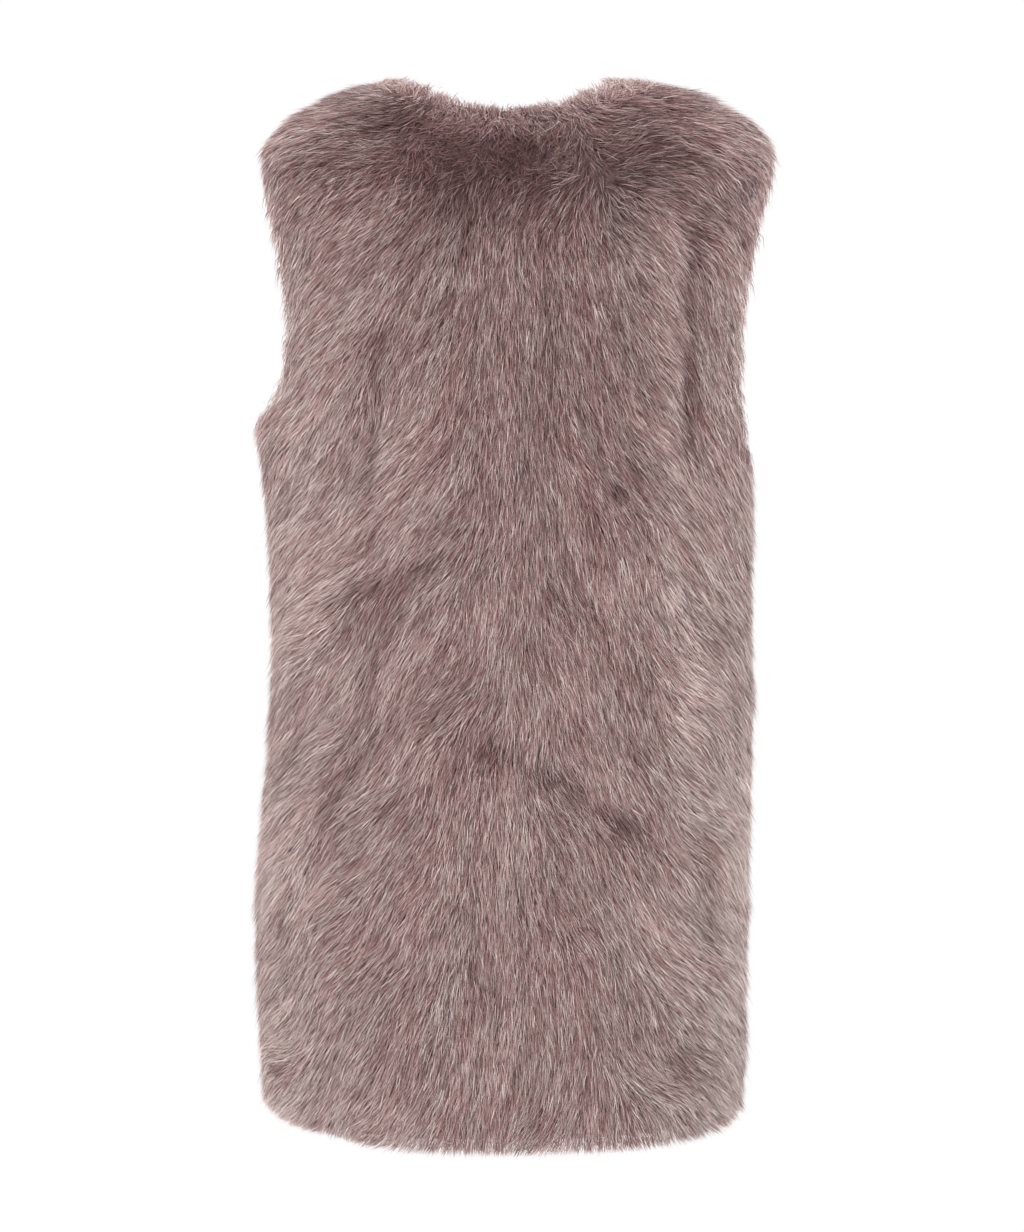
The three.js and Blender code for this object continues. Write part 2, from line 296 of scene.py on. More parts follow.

# Painted shade in narrow creases of the back's pile, as straight runs like the folds, with painted
# light on the pale ridges beside them. Here depth is how dark the painted shade is, and negative for
# the painted light on those ridges.
CREASE_COLUMNS = ("x1", "h1", "x2", "h2", "width", "depth")
BACK_PAINTED_CREASES = table(CREASE_COLUMNS, [
    [141, 735, 139, 570, 5, 0.20],
    [131, 730, 130, 575, 5, -0.09],
    [-103, 652, -103, 490, 5, 0.15],
    [-95, 650, -94, 490, 6, -0.07],
    [-48, 479, -146, 440, 6, 0.16],
    [-46, 490, -144, 452, 7, -0.08],
    [108, 556, 66, 532, 12, 0.08],
    [121, 512, 125, 450, 9, -0.08],
    [125, 450, 152, 350, 9, -0.10],
    [153, 350, 159, 300, 6, 0.14],
    [146, 300, 152, 250, 5, 0.08],
    [42, 470, 74, 414, 6, 0.10],
    [-10, 330, 96, 268, 7, 0.11],
    [20, 332, 100, 286, 10, -0.05],
    [-152, 420, -154, 330, 8, -0.06],
])

# Painted shade on the fronts, in ovals as on the back: down the opening at the centre front, at the
# neck and in the troughs of the folds.
FRONT_PAINTED_SHADES = table(SHADE_COLUMNS, [
    [0, 380, 5, 400, 0.16],
    [0, 742, 70, 26, 0.10],
    [158, 632, 9, 66, 0.16],
    [-156, 630, 9, 66, 0.16],
    [116, 424, 12, 46, 0.14],
    [-108, 400, 12, 60, 0.14],
    [106, 170, 11, 64, 0.13],
    [-74, 186, 12, 64, 0.12],
])

# Places on the back, each an oval with its x, height, half width and half height.
NAPE = (-10, 802, 92, 30)
WHORL = (66, 798, 26, 24)
LEFT_FOOT = (-200, 589, 14, 9)

MAP_CELL = 4  # the lay of the pile is worked out on a grid this fine, and read from it in between
MAP_X = np.arange(-248, 249, MAP_CELL)
MAP_HEIGHT = np.arange(-40, 901, MAP_CELL)

# edges names the armhole that cuts into each side edge of a panel, and grid is the columns and rows
# of its cloth. cut is its flat width and length in metres.
PANELS = {
    "back": {
        "edges": ("left", "right"),
        "grid": (54, 92),
        "pieces": ["back_fur_low", "back_fur_middle", "back_fur_high"],
        "hairs": 279000,
        "cut": (0.5, 0.9),
    },
    "front_right": {
        "edges": ("right", None),
        "grid": (28, 92),
        "pieces": ["front_right_fur_low", "front_right_fur_high"],
        "hairs": 93000,
        "cut": (0.27, 0.9),
    },
    "front_left": {
        "edges": (None, "left"),
        "grid": (28, 92),
        "pieces": ["front_left_fur_low", "front_left_fur_high"],
        "hairs": 93000,
        "cut": (0.27, 0.9),
    },
}

# Colours as the eye reads them, from 0 to 255, each with its place on a ramp. The hairs' two ramps
# go from root to tip, and HUE_BANDS steps lead from the one to the other.
MAUVE = [(0, (57, 28, 29)), (0.45, (126, 86, 85)), (0.8, (180, 143, 142)), (1, (223, 199, 197))]
BEIGE = [(0, (53, 36, 34)), (0.45, (123, 105, 100)), (0.8, (181, 166, 161)), (1, (227, 213, 208))]
HUE_BANDS = 6
UNDERFUR_COLOURS = [(0.3, (58, 40, 42)), (0.7, (104, 82, 82))]
BACKING_COLOURS = [(0.2, (160, 139, 137)), (0.8, (184, 163, 160))]

# The camera stands level behind the wearer, in metres. FRAME_HEIGHT is what the picture takes in
# at the vest, from top to bottom.
CAMERA_PLACE = (0.0016, -2.6, -0.415)
FRAME_HEIGHT = 1.01024
SENSOR_HEIGHT = 24

# Square soft lights: name, place and side in metres, and power in watts.
LIGHTS = [
    ("key", (-0.6, -3.2, 1.4), 2.2, 60),
    ("fill", (1.8, -2.2, 0.2), 2.0, 20),
    ("rim_left", (-2.4, 0.2, 0.0), 1.6, 16),
    ("rim_right", (2.4, 0.4, 0.0), 1.6, 16),
    ("front", (0.4, 3.0, 1.2), 2.2, 30),
]
FLOOR_HEIGHT = -1.75
FLOOR_RADIUS = 2.6
FLOOR_GREY = 0.86


def smoothstep(value, low, high):
    share = np.clip((value - low) / (high - low), 0, 1)
    return share * share * (3 - 2 * share)


def unit(vectors):
    return vectors / np.maximum(np.linalg.norm(vectors, axis=-1, keepdims=True), 1e-9)


def drift(x, y, size, seed):
    """Smooth noise from -1 to 1 whose swells are about this size."""
    cells = 64
    lattice = np.random.default_rng(seed).uniform(-1, 1, (cells, cells))
    column = np.floor(x / size).astype(int)
    row = np.floor(y / size).astype(int)
    across = smoothstep(x / size - column, 0, 1)
    up = smoothstep(y / size - row, 0, 1)

    def corner(i, j):
        return lattice[(row + j) % cells, (column + i) % cells]

    low = corner(0, 0) * (1 - across) + corner(1, 0) * across
    high = corner(0, 1) * (1 - across) + corner(1, 1) * across
    return low * (1 - up) + high * up


def ring_at(level):
    """The ring at any level between the tabled ones, by a smooth spline through each column."""
    i = np.clip(np.floor(level).astype(int), 0, TOP - 1)
    t = (level - i)[..., None]
    a, b, c, d = (RINGS[np.clip(i + k, 0, TOP)] for k in (-1, 0, 1, 2))
    values = b + t / 2 * (c - a + t * (2 * a - 5 * b + 4 * c - d + t * (3 * (b - c) + d - a)))
    return dict(zip(RING_COLUMNS, np.moveaxis(values, -1, 0)))


def smooth_point(angle, level):
    """The point of the smooth outer surface at an angle: 0 is the right side, a quarter turn the
    centre front."""
    ring = ring_at(level)
    square = ring["square"]
    across = (np.cos(angle) - square * np.cos(3 * angle)) / (1 - square)
    through = (np.sin(angle) + square * np.sin(3 * angle)) / (1 - square)
    depth = np.where(through < 0, ring["back_depth"], ring["front_depth"])
    middle = np.where(through < 0, ring["back_height"], ring["front_height"])
    height = ring["side_height"] + (middle - ring["side_height"]) * through * through
    return np.stack([ring["sway"] + ring["half_width"] * across, depth * through, height], -1)


def slopes_to_normal(point_at, angle, level):
    """The outward normal of a surface, from its two slopes."""
    step = SLOPE_STEP
    low = np.maximum(level - step, 0)
    high = np.minimum(level + step, TOP)
    around = point_at(angle + step, level) - point_at(angle - step, level)
    up = point_at(angle, high) - point_at(angle, low)
    return unit(np.cross(around, up))


def relief(folds, x, height):
    """How far the folds stand out at these places."""
    total = np.zeros_like(x)
    for k in range(len(folds["depth"])):
        fold = {name: column[k] for name, column in folds.items()}
        run_x = fold["x2"] - fold["x1"]
        run_h = fold["h2"] - fold["h1"]
        from_x = x - fold["x1"]
        from_h = height - fold["h1"]
        along = np.clip((from_x * run_x + from_h * run_h) / (run_x**2 + run_h**2), 0, 1)
        off = np.hypot(from_x - along * run_x, from_h - along * run_h) / fold["width"]
        total += fold["depth"] * np.exp(-off * off)
    return total


def folded_point(angle, level):
    """The point of the outer surface with its folds."""
    point = smooth_point(angle, level)
    normal = slopes_to_normal(smooth_point, angle, level)
    through = np.sin(angle)
    back = relief(BACK_FOLDS, point[..., 0], point[..., 2])
    front = relief(FRONT_FOLDS, point[..., 0], point[..., 2])
    height = np.where(through < 0, back, front) * smoothstep(np.abs(through), 0, FOLD_FADE)
    return point + normal * height[..., None]


def armhole_cut(side, panel, level, inset):
    """How far round from the side, in radians, a panel's edge stands back because of an armhole."""
    hole = ARMHOLES[side]
    bottom = hole["bottom"] - inset * HOLE_INSET_RINGS
    top = hole["top"] + inset * HOLE_INSET_RINGS
    t = np.clip((level - bottom) / (top - bottom), 0, 1)
    foot, crown = hole["foot"], hole["crown"]
    peak = foot / (foot + crown)
    shape = t**foot * (1 - t) ** crown / (peak**foot * (1 - peak) ** crown)
    return np.radians(hole[panel] + inset * HOLE_INSET_TURN) * shape


def edges(panel, level, inset=1):
    """The angles of a panel's two side edges at a level. inset is 1 for the cloth, and 0 for how far
    the fur reaches."""
    if panel == "back":
        left = armhole_cut("left", "back", level, inset)
        right = armhole_cut("right", "back", level, inset)
        return -math.pi + left, -right
    middle = math.pi / 2 + 0 * level
    gap = math.radians(FRONT_INSET) * inset
    if panel == "front_right":
        return armhole_cut("right", "front", level, inset), middle - gap
    return middle + gap, math.pi - armhole_cut("left", "front", level, inset)


def across_panel(panel, share, level, inset=1):
    """The angle at a share of the way across a panel."""
    start, end = edges(panel, level, inset)
    return start + (end - start) * share


def free_edge_distance(panel, points):
    """How far points are from the nearest free edge of their panel."""
    levels = np.linspace(0, TOP, 260)
    shares = np.linspace(0, 1, 90)
    rims = []
    for level in (0, TOP):
        end = np.full_like(shares, level)
        rims.append(smooth_point(across_panel(panel, shares, end, 0), end))
    for edge, side in zip(edges(panel, levels, 0), PANELS[panel]["edges"]):
        is_free = np.ones_like(levels, bool)
        if side:
            hole = ARMHOLES[side]
            is_free = (levels > hole["bottom"]) & (levels < hole["top"])
        rims.append(smooth_point(edge, levels)[is_free])
    rim = np.concatenate(rims)
    nearest = np.full(len(points), 1e9)
    for start in range(0, len(rim), 40):
        gaps = np.linalg.norm(points[:, None, :] - rim[None, start : start + 40, :], axis=-1)
        nearest = np.minimum(nearest, gaps.min(1))
    return nearest


def to_frame(points):
    """Millimetres above the hem as metres in the frame."""
    return (np.asarray(points) - [0, 0, HOLD_HEIGHT]) / 1000


def new_object(name, vertices, loops, starts, materials):
    """A mesh object from arrays. loops are the vertex numbers of all faces in a row, and starts is
    where in them each face starts."""
    mesh = bpy.data.meshes.new(name)
    mesh.vertices.add(len(vertices))
    mesh.vertices.foreach_set("co", np.ascontiguousarray(vertices, np.float32).ravel())
    mesh.loops.add(len(loops))
    mesh.loops.foreach_set("vertex_index", np.ascontiguousarray(loops, np.int32))
    mesh.polygons.add(len(starts))
    mesh.polygons.foreach_set("loop_start", np.ascontiguousarray(starts, np.int32))
    mesh.polygons.foreach_set("use_smooth", np.ones(len(starts), bool))
    for material in materials:
        mesh.materials.append(material)
    mesh.update(calc_edges=True)
    mesh.validate()
    item = bpy.data.objects.new(name, mesh)
    bpy.context.collection.objects.link(item)
    return item


def cloth_points(panel, columns, rows, depth, roll):
    """A grid of points across a panel, this deep under the fur's surface."""
    levels = np.linspace(HEM_INSET, TOP - NECK_INSET, rows + 1)
    level, share = np.meshgrid(levels, np.linspace(0, 1, columns + 1), indexing="ij")
    angle = across_panel(panel, share.ravel(), level.ravel())
    point = folded_point(angle, level.ravel())
    normal = slopes_to_normal(folded_point, angle, level.ravel())
    near = np.maximum(1 - free_edge_distance(panel, point) / EDGE_REACH, 0)
    return point - normal * (depth + roll * near**2)[:, None]


def cloth(panel, materials):
    """The panel's backing with its underfur, as a thin closed shell. Its inner face has the second
    of the materials."""
    columns, rows = PANELS[panel]["grid"]
    outer = cloth_points(panel, columns, rows, PILE - UNDERFUR, EDGE_ROLL * 0.5)
    inner = cloth_points(panel, columns, rows, WALL, 0)
    count = len(outer)
    number = np.arange(count).reshape(rows + 1, columns + 1)
    a, b, c, d = number[:-1, :-1], number[:-1, 1:], number[1:, 1:], number[1:, :-1]
    front = np.stack([a, b, c, d], -1).reshape(-1, 4)
    faces = [front, front[:, ::-1] + count]
    border = [number[0, :], number[:, -1], number[-1, ::-1], number[::-1, 0]]
    for line in border:
        start, end = line[:-1], line[1:]
        faces.append(np.stack([end, start, start + count, end + count], -1))
    loops = np.concatenate(faces)
    starts = np.arange(len(loops)) * 4
    points = to_frame(np.concatenate([outer, inner]))
    item = new_object(f"{panel}_cloth", points, loops.ravel(), starts, materials)
    slot = np.zeros(len(loops), np.int32)
    slot[rows * columns : 2 * rows * columns] = 1
    item.data.polygons.foreach_set("material_index", slot)
    return item


def flat_area(panel):
    """The area of a panel's cloth in square metres, along its backing."""
    columns, rows = PANELS[panel]["grid"]
    grid = cloth_points(panel, columns, rows, PILE, 0).reshape(rows + 1, columns + 1, 3) / 1000
    along = grid[:-1, 1:] - grid[:-1, :-1]
    up = grid[1:, :-1] - grid[:-1, :-1]
    return float(np.linalg.norm(np.cross(along, up), axis=-1).sum())


def even_spots(panel, count, rng):
    """Spots spread evenly over a panel's area: angle, level, and the share of the area that lies
    below. They stand closer at the neck, where the fur is short."""
    columns, rows = 90, 240
    levels = np.linspace(HEM_INSET * 0.8, TOP - NECK_INSET * 0.4, rows + 1)
    level, share = np.meshgrid(levels, np.linspace(0, 1, columns + 1), indexing="ij")
    grid = smooth_point(across_panel(panel, share, level, 0.8), level)
    along = grid[:-1, 1:] - grid[:-1, :-1]
    up = grid[1:, :-1] - grid[:-1, :-1]
    area = np.linalg.norm(np.cross(along, up), axis=-1)
    area *= 1 + 1.2 * smoothstep(level[:-1, :-1], TOP - 2.5, TOP - 1)
    below = np.concatenate([[0], np.cumsum(area.sum(1))])
    below /= below[-1]
    beside = np.concatenate([np.zeros((rows, 1)), np.cumsum(area, 1)], 1)
    beside /= beside[:, -1:]
    number = np.arange(count)
    first = (0.5 + number * SPOT_STEPS[0]) % 1
    second = (0.5 + number * SPOT_STEPS[1]) % 1
    cell = 0.3 / math.sqrt(count)
    first = np.clip(first + rng.uniform(-cell, cell, count), 0, 0.999999)
    second = np.clip(second + rng.uniform(-cell, cell, count), 0, 0.999999)
    spot_level = np.interp(first, below, levels)
    row = np.clip(np.searchsorted(below, first, side="right") - 1, 0, rows - 1)
    stacked = (beside + np.arange(rows)[:, None]).ravel()
    shares = np.tile(np.linspace(0, 1, columns + 1), rows)
    spot_share = np.interp(row + second, stacked, shares)
    return across_panel(panel, spot_share, spot_level, 0.8), spot_level, first


def lay_at(lay, x, height):
    """Which way the pile lies at these places, in degrees, by the nearest points of a table."""
    total = np.zeros_like(x)
    east = np.zeros_like(x)
    south = np.zeros_like(x)
    for px, ph, turn in zip(lay["x"], lay["height"], lay["turn"]):
        away = ((x - px) ** 2 + (height - ph) ** 2 + LAY_REACH**2) / 1000
        weight = away**-2.5
        east += weight * math.sin(math.radians(turn))
        south += weight * math.cos(math.radians(turn))
        total += weight
    return np.degrees(np.arctan2(east, south))


def lay_map(panel):
    """The lay of a panel's pile on the grid, as sines and cosines of the turn."""
    x, height = np.meshgrid(MAP_X.astype(float), MAP_HEIGHT.astype(float))
    if panel == "back":
        turn = lay_at(BACK_LAY, x.ravel(), height.ravel())
    else:
        turn = np.where(x.ravel() < 0, -1, 1) * lay_at(FRONT_LAY, np.abs(x.ravel()), height.ravel())
    turn = np.radians(turn).reshape(x.shape)
    return np.stack([np.sin(turn), np.cos(turn)], -1)


def read_map(grid, x, height):
    """The turn at these places, in radians, between the grid's points."""
    column = np.clip((x - MAP_X[0]) / MAP_CELL, 0, len(MAP_X) - 1.001)
    row = np.clip((height - MAP_HEIGHT[0]) / MAP_CELL, 0, len(MAP_HEIGHT) - 1.001)
    i, j = column.astype(int), row.astype(int)
    across, up = (column - i)[:, None], (row - j)[:, None]
    low = grid[j, i] * (1 - across) + grid[j, i + 1] * across
    high = grid[j + 1, i] * (1 - across) + grid[j + 1, i + 1] * across
    value = low * (1 - up) + high * up
    return np.arctan2(value[:, 0], value[:, 1])


def streaks(grid, x, height, size, seed, steps=8, stride=4.5):
    """Smooth noise drawn out along the lay of the pile, about 1 at its strongest."""
    total = drift(x, height, size, seed)
    for way in (1, -1):
        px, ph = x.copy(), height.copy()
        for _ in range(steps):
            turn = read_map(grid, px, ph)
            px += way * stride * np.sin(turn)
            ph -= way * stride * np.cos(turn)
            total += drift(px, ph, size, seed)
    return total / (2.2 * total.std())


def oval(x, height, middle_x, middle_height, width, rise):
    """1 in the middle of an oval place, and dying away beyond its half width and half height."""
    return np.exp(-(((x - middle_x) / width) ** 2) - ((height - middle_height) / rise) ** 2)


def painted_shade_and_tone_at(shades, x, height):
    """How dark the tabled places make the fur: painted shade, on the back partly the fur's own
    darker colour, and painted light where negative.
    """
    total = np.zeros_like(x)
    for *place, dark in zip(*(shades[name] for name in SHADE_COLUMNS)):
        total += dark * oval(x, height, *place)
    return total


def turned(turn, normal):
    """The direction along a surface that looks turned by so many degrees from straight down."""
    radians = np.radians(turn)
    wanted = np.stack([np.sin(radians), 0 * radians, -np.cos(radians)], -1)
    return unit(wanted - normal * (wanted * normal).sum(-1, keepdims=True))


def along_surface(angle, level, way, reach):
    """Where a walk over the surface ends that starts this way and goes this far, and the normal
    there. Past the hem or the neck edge it goes straight on."""
    step = SLOPE_STEP
    here = folded_point(angle, level)
    around = (folded_point(angle + step, level) - here) / step
    above = folded_point(angle, np.minimum(level + step, TOP))
    up = (above - folded_point(angle, level - step)) / (2 * step)
    wanted = way * reach[:, None]
    aa, uu, au = ((p * q).sum(1) for p, q in ((around, around), (up, up), (around, up)))
    wa, wu = (wanted * around).sum(1), (wanted * up).sum(1)
    scale = aa * uu - au * au
    end_angle = angle + (wa * uu - wu * au) / scale
    end_level = level + (wu * aa - wa * au) / scale
    on_cloth = np.clip(end_level, 0, TOP)
    point = folded_point(end_angle, on_cloth) + up * (end_level - on_cloth)[:, None]
    return point, slopes_to_normal(folded_point, end_angle, on_cloth)


def climbed(climb, share):
    """What share of its rise a hair has reached at a share of its length. climb is what it has
    reached in its middle."""
    bow = (climb - MIDDLE) / (MIDDLE - MIDDLE**2)
    return share * (1 + bow - bow * share)


def place_locks(panel, count, rng):
    """The places where a panel's locks of hair grow, and what its fur is like there."""
    angle, level, below = even_spots(panel, count, rng)
    point = folded_point(angle, level)
    x, height = point[:, 0], point[:, 2]
    is_back = panel == "back"
    ruffled = np.zeros(count)
    if is_back:
        ruffled = np.maximum(oval(x, height, *NAPE), 0.5 * oval(x, height, *WHORL))
    return SimpleNamespace(
        count=count,
        is_back=is_back,
        angle=angle,
        level=level,
        below=below,
        point=point,
        x=x,
        height=height,
        normal=slopes_to_normal(folded_point, angle, level),
        grid=lay_map(panel),
        edge_near=np.maximum(1 - free_edge_distance(panel, point) / EDGE_REACH, 0),
        ruffled=ruffled,
        at_neck=smoothstep(level, TOP - 1.8, TOP - 0.6),
        at_hem=1 - smoothstep(level, 1, 2),
    )


def comb(locks, rng, seed):
    """Which way each lock lies, in degrees: by the tables, with noise, and some up at the neck."""
    x, height, ruffled = locks.x, locks.height, locks.ruffled
    turn = np.degrees(read_map(locks.grid, x, height))
    turn = turn + SWELL_TURN * drift(x, height, 26, seed + 1)
    turn = turn + RIPPLE_TURN * drift(x, height, 9, seed + 2)
    turn = turn + rng.normal(0, LOCK_TURN + RUFFLED_LOCK_TURN * ruffled, locks.count)
    turn = turn + RUFFLED_TURN * ruffled * drift(x, height, 19, seed + 7)
    up_turn = 180 + UP_TURN * drift(x, height, 17, seed + 8)
    up_turn += rng.normal(0, UP_LOCK_TURN, locks.count)
    turned_up = locks.at_neck * (0.6 + 0.5 * drift(x, height, 15, seed + 9))
    turned_up *= 1 if locks.is_back else 0.5
    turn = np.where(rng.random(locks.count) < turned_up, up_turn, turn)
    if not locks.is_back:
        turn -= np.sign(x) * FRONT_LEAN * np.exp(-((x / LEAN_REACH) ** 2))
    return turn


def size_locks(locks, rng, seed):
    """Each lock's length, the height of its tips, the depth of its roots, and how soon it rises."""
    x, height, ruffled, edge_near = locks.x, locks.height, locks.ruffled, locks.edge_near
    tuft = np.maximum(drift(x + locks.point[:, 1], height, 13, seed + 6) - 0.35, 0) / 0.65
    length = HAIR_LENGTH * rng.uniform(0.82, 1.14, locks.count)
    locks.length = length * (1 - 0.5 * ruffled) * (1 - 0.45 * locks.at_neck)
    at_shoulder = smoothstep(np.abs(x), 150, 200) * np.exp(-(((height - 775) / 58) ** 2))
    tip_height = rng.normal(TIP_HEIGHT, TIP_SPREAD, locks.count)
    tip_height = tip_height + RUFFLED_RISE * ruffled + TUFT_RISE * tuft
    tip_height -= SHOULDER_DROP * at_shoulder
    tip_height += FOOT_RISE * oval(x, height, *LEFT_FOOT)
    rolled = np.where(locks.at_hem + locks.at_neck > 0.5, 0.6, 0.35)
    locks.tip_height = tip_height - EDGE_ROLL * edge_near**2 * rolled
    locks.root_depth = PILE - 1 + EDGE_ROLL * 0.4 * edge_near**2
    locks.climb = 0.66 + 0.26 * edge_near * (1 - locks.at_hem)


def colour_locks(locks, rng, seed):
    """How pale each lock is, with painted shade and light, and its hue from 0 for mauve to 1 for
    beige.
    """
    x, height, grid = locks.x, locks.height, locks.grid
    shades, folds = (BACK_PAINTED_SHADE_AND_TONE, BACK_FOLDS) if locks.is_back else (FRONT_PAINTED_SHADES, FRONT_FOLDS)
    # painted shade from the tabled places and the creases, on the back partly the fur's own darker
    # colour
    dark = painted_shade_and_tone_at(shades, x, height)
    if locks.is_back:
        dark += relief(BACK_PAINTED_CREASES, x, height)
    # painted light on the tops of the shoulders, which face the light from above
    lit_top = smoothstep(locks.normal[:, 2], 0.35, 0.8)
    tone = 0.1 * streaks(grid, x, height, 6, seed + 3) + 0.04 * drift(x, height, 48, seed + 4)
    # painted sheen: the sides paler, where the pile is seen at a slant with the light across it
    tone += np.where(x < 0, 0.12, 0.05) * smoothstep(np.abs(x), 95, 190)
    # painted light on the folds' ridges and painted shade in their troughs, with the shade and lit
    # tops above
    tone += 0.016 * np.clip(relief(folds, x, height), -7, 7) - dark + 0.07 * lit_top
    # paler at the neck edge: partly its paler tips, partly painted light on the hairs that stand up
    # to the light
    tone += locks.at_neck * (0.1 + 0.2 * np.exp(-((x / 50) ** 2)))
    tone += 0.03 * (1 - smoothstep(height, 8, 34))
    locks.tone = tone + rng.normal(0, 0.06, locks.count)
    hue = 0.34 + 0.26 * streaks(grid, x, height, 9, seed + 5)
    beige_share = np.where(x < 0, 0.22, 0.45) * smoothstep(np.abs(x), 70, 180)
    hue += beige_share * (1.35 - height / 600)
    locks.hue = hue - 0.2 * locks.ruffled


def grow_hairs(locks, turn, rng):
    """The root, two middle points and tip of every hair."""
    way = turned(turn, locks.normal)
    near = along_surface(locks.angle, locks.level, way, 0.45 * locks.length)
    far = along_surface(locks.angle, locks.level, way, 0.9 * locks.length)

    hairs = locks.count * LOCK_HAIRS
    of_lock = np.repeat(np.arange(locks.count), LOCK_HAIRS)
    along, n = way[of_lock], locks.normal[of_lock]
    here, half_point, end_point = locks.point[of_lock], near[0][of_lock], far[0][of_lock]
    half_normal, end_normal = near[1][of_lock], far[1][of_lock]
    side = np.cross(n, along)
    spread = rng.normal(0, LOCK_SPREAD, (hairs, 2))
    offset = side * spread[:, :1] + along * spread[:, 1:] * 1.4
    depth = locks.root_depth[of_lock]
    start = here - n * depth[:, None] + offset
    share = rng.uniform(0.74, 1.1, hairs)
    long = locks.length[of_lock] * share
    rise = (locks.root_depth + locks.tip_height)[of_lock] + rng.normal(0, 1.2, hairs)
    rise += np.where(rng.random(hairs) < STRAY_SHARE, rng.uniform(1, 5, hairs), 0)
    rise = np.clip(rise, 3, 0.74 * long)
    bend = rng.normal(0, 0.8, locks.count)[of_lock] + rng.normal(0, 0.6, hairs)
    tip_side = rng.normal(0, 0.09, hairs) * long - 0.45 * spread[:, 0]

    def on_lock(t, lift, sideways):
        """The point at a share of the lock's way, lifted from the roots and shifted aside."""
        t = t[:, None]
        first, second, third = (1 - t) * (1 - 2 * t), 4 * t * (1 - t), t * (2 * t - 1)
        base = here * first + half_point * second + end_point * third
        up = unit(n * first + half_normal * second + end_normal * third)
        return base + up * (lift - depth)[:, None] + offset + side * sideways[:, None]

    tip = on_lock(share, rise, tip_side)
    trim = trimmed(locks, of_lock, start[:, 2], tip[:, 2], rng)
    climb = locks.climb[of_lock]
    tip = on_lock(share * trim, rise * climbed(climb, trim), tip_side * trim)
    halfway = MIDDLE * trim
    middle_side = halfway * tip_side + bend
    middle = on_lock(halfway * share, rise * climbed(climb, halfway), middle_side)

    roll = rng.uniform(-0.9, 0.9, hairs)
    flat = side * np.cos(roll)[:, None] + n * np.sin(roll)[:, None]
    half = 0.5 * HAIR_WIDTH * rng.uniform(0.7, 1.25, hairs)[:, None]
    return np.stack([start, middle - flat * half, middle + flat * half, tip], 1), of_lock


def trimmed(locks, of_lock, root_height, tip_height, rng):
    """The share of its length that is left of each hair, cut where it passes the hem or neck."""
    hem = smooth_point(locks.angle, np.zeros(locks.count))[of_lock, 2]
    if locks.is_back:
        hem += HEM_BEVEL * smoothstep(-locks.x, 60, 150)[of_lock]
    neck = smooth_point(locks.angle, np.full(locks.count, TOP))[of_lock, 2]
    drop = root_height - tip_height
    to_hem = root_height - hem + HEM_FUZZ * rng.uniform(-0.6, 1, len(of_lock)) ** 3
    to_neck = neck - root_height + rng.uniform(*NECK_TRIM, len(of_lock))
    room = np.where(drop > 0, to_hem, to_neck)
    return np.clip(room / np.maximum(np.abs(drop), 1e-3), 0.15, 1)


def colour_hairs(locks, of_lock, rng):
    """Every hair's shade at its four vertices, and the step of its hue."""
    hairs = len(of_lock)
    pale = rng.uniform(0.16, 0.46, hairs) * (1 - 0.45 * locks.ruffled[of_lock])
    is_pale = rng.random(hairs) < PALE_SHARE
    bright = np.where(is_pale, pale, rng.normal(-0.08, 0.125, hairs))
    tone = locks.tone[of_lock] + bright
    shade = np.stack([0.04 + 0.4 * tone, 0.56 + tone, 0.87 + tone], 1)
    shade = np.clip(shade, 0.02, 0.98)[:, [0, 1, 1, 2]]
    band = np.clip(locks.hue[of_lock] + 0.9 * bright + rng.normal(0, 0.24, hairs), 0, 0.999)
    return shade, np.floor(band * HUE_BANDS)


def fur(panel, pieces, count, material, seed):
    """The pile of one panel as meshes of tapered hairs, in bands of equal area from the hem up."""
    rng = np.random.default_rng(seed)
    locks = place_locks(panel, count // LOCK_HAIRS, rng)
    turn = comb(locks, rng, seed)
    size_locks(locks, rng, seed)
    colour_locks(locks, rng, seed)
    vertices, of_lock = grow_hairs(locks, turn, rng)
    shade, band = colour_hairs(locks, of_lock, rng)
    made = []
    piece_of = np.minimum((locks.below * len(pieces)).astype(int), len(pieces) - 1)[of_lock]
    for k, name in enumerate(pieces):
        chosen = piece_of == k
        made.append(hair_mesh(name, vertices[chosen], shade[chosen], band[chosen], material))
    return made


def hair_mesh(name, vertices, shade, band, material):
    """One mesh of hairs, each a kite from root to tip that bends across its middle, and its
    colour attributes."""
    hairs = len(vertices)
    starts = np.arange(hairs) * 4
    loops = (starts[:, None] + KITE).ravel()
    item = new_object(name, to_frame(vertices.reshape(-1, 3)), loops, starts, [material])
    mesh = item.data
    values = mesh.attributes.new("shade", "FLOAT", "POINT")
    values.data.foreach_set("value", shade.astype(np.float32).ravel())
    values = mesh.attributes.new("hue", "FLOAT", "POINT")
    values.data.foreach_set("value", np.repeat((band + 0.5) / HUE_BANDS, 4).astype(np.float32))
    map_hair(mesh, shade, band)
    return item


def map_hair(mesh, shade, band):
    """A map for baking that gives each colour its own place: across by the hue's step, and up by
    the shade."""
    left, centre, right = ((band + share) / HUE_BANDS for share in (0.1, 0.5, 0.9))
    across = np.stack([centre, left, right, centre], 1)
    places = np.stack([across, shade], -1)[:, KITE]
    mesh.uv_layers.new(name="OFBake").uv.foreach_set("vector", places.astype(np.float32).ravel())


def srgb(red, green, blue):
    """A colour given as the eye reads it, 0 to 255, in the linear values that nodes take."""
    channels = np.array([red, green, blue]) / 255
    linear = np.where(channels <= 0.04045, channels / 12.92, ((channels + 0.055) / 1.055) ** 2.4)
    return (*linear, 1)


def ramp(nodes, stops):
    """A colour ramp with these colours at their places."""
    node = nodes.new("ShaderNodeValToRGB")
    line = node.color_ramp
    while len(line.elements) < len(stops):
        line.elements.new(0.5)
    for element, (place, colour) in zip(line.elements, stops):
        element.position = place
        element.color = srgb(*colour)
    return node


def new_material(name):
    material = bpy.data.materials.new(name)
    material.use_nodes = True
    nodes = material.node_tree.nodes
    return material, nodes, material.node_tree.links, nodes["Principled BSDF"]


